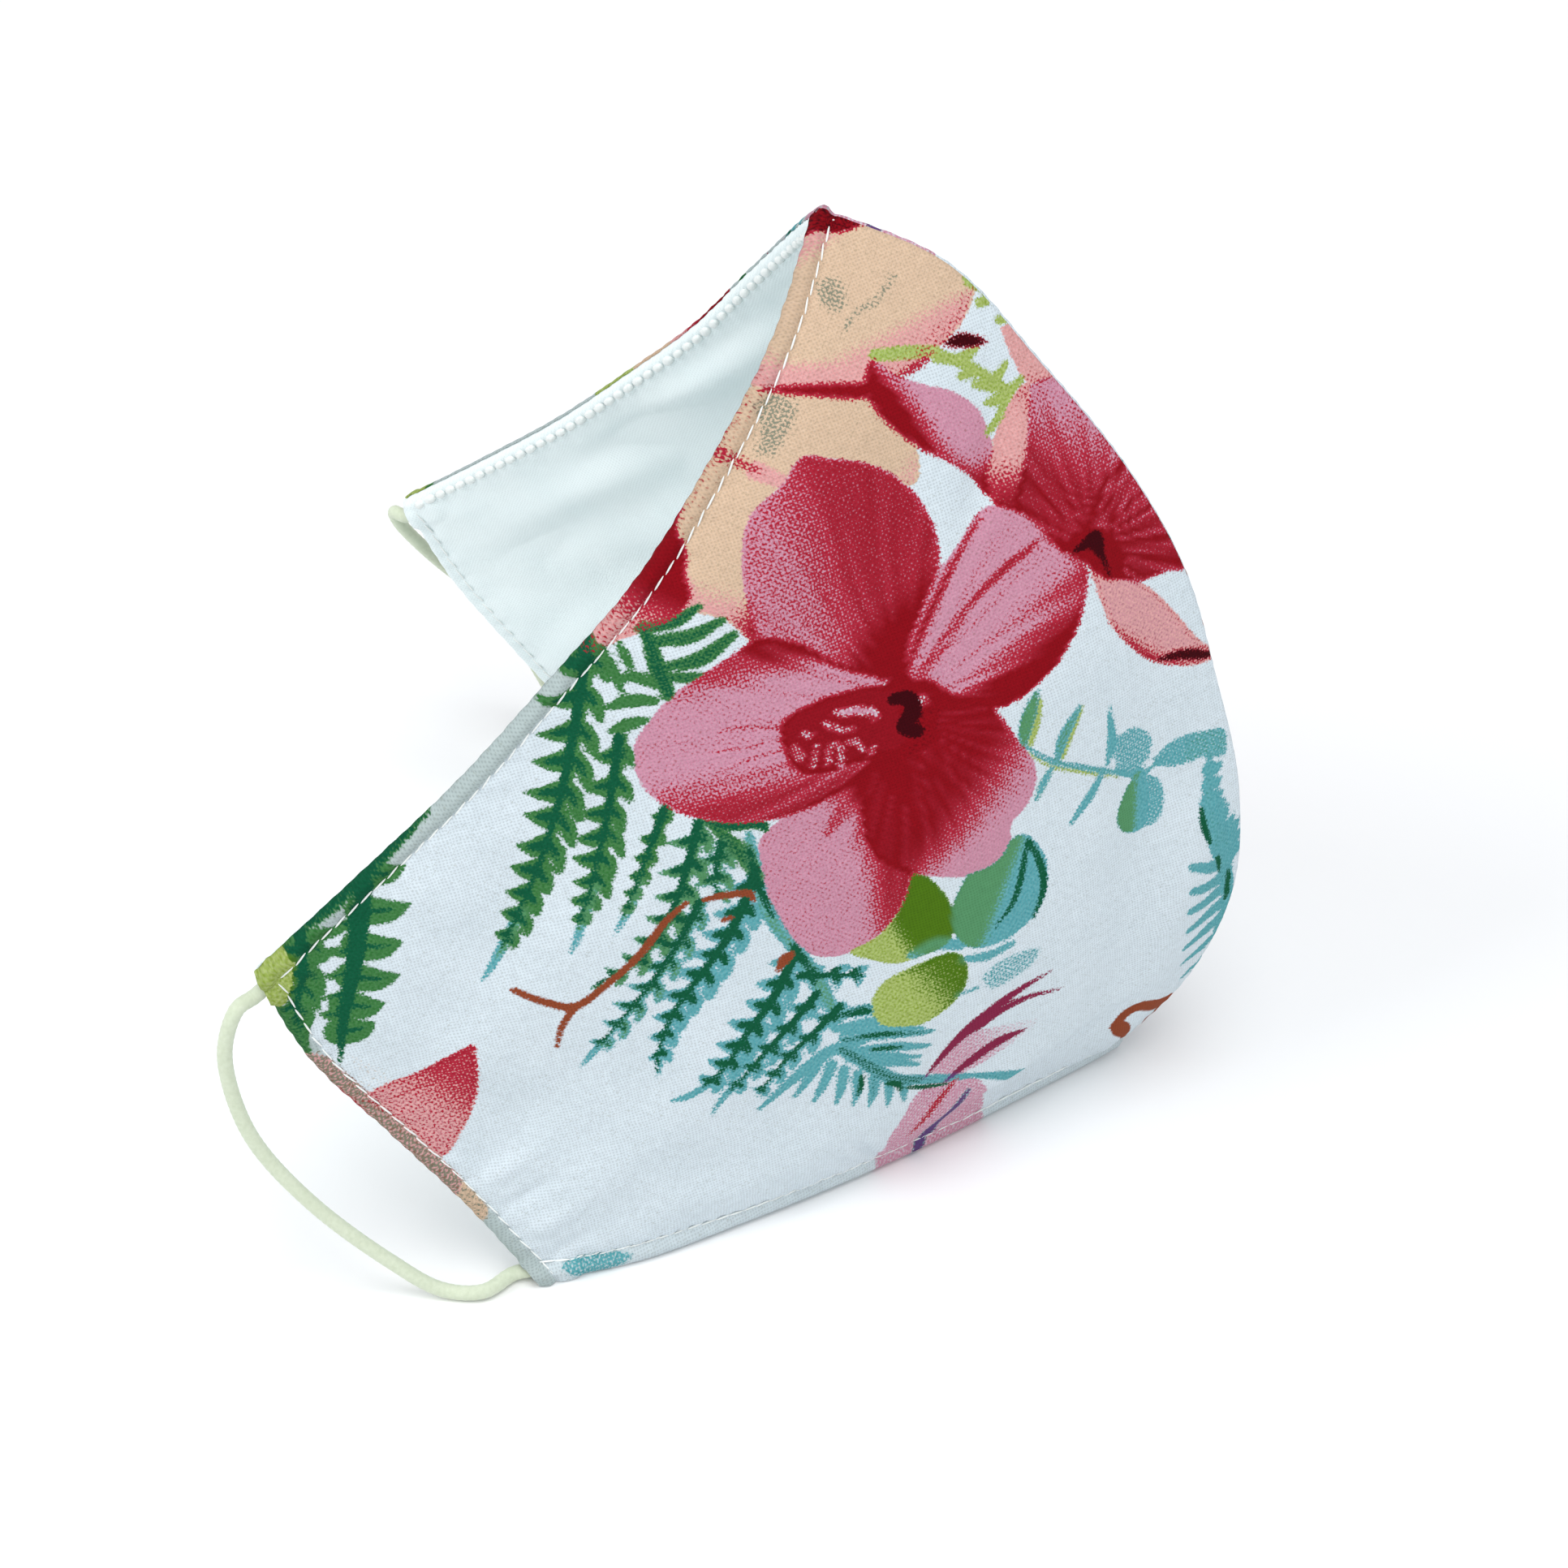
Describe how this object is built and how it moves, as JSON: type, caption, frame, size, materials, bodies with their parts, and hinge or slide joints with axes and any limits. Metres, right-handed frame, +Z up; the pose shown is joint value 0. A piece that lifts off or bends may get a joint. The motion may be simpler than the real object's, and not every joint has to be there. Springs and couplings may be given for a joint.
{
  "type": "cloth face mask",
  "caption": "Contoured cloth face mask with a centre seam, printed cotton outside, white lining and round elastic ear loops, standing open on its chin hems.",
  "frame": {"origin": "middle of the cloth's box from above, on the surface that the chin hems stand on", "axes": "-Y is the mask's front, +X the wearer's left, +Z up from the chin hems to the nose bridge"},
  "size_m": [0.1348, 0.1427, 0.148],
  "materials": {
    "printed_cotton": "matt plain weave",
    "white_lining": "matt plain weave",
    "elastic": "matt knit"
  },
  "bodies": {
    "root": {"outer_panel_right": "printed_cotton", "outer_panel_left": "printed_cotton", "lining_right": "white_lining", "lining_left": "white_lining", "ear_loop_right": "elastic", "ear_loop_left": "elastic"}
  },
  "joints": []
}
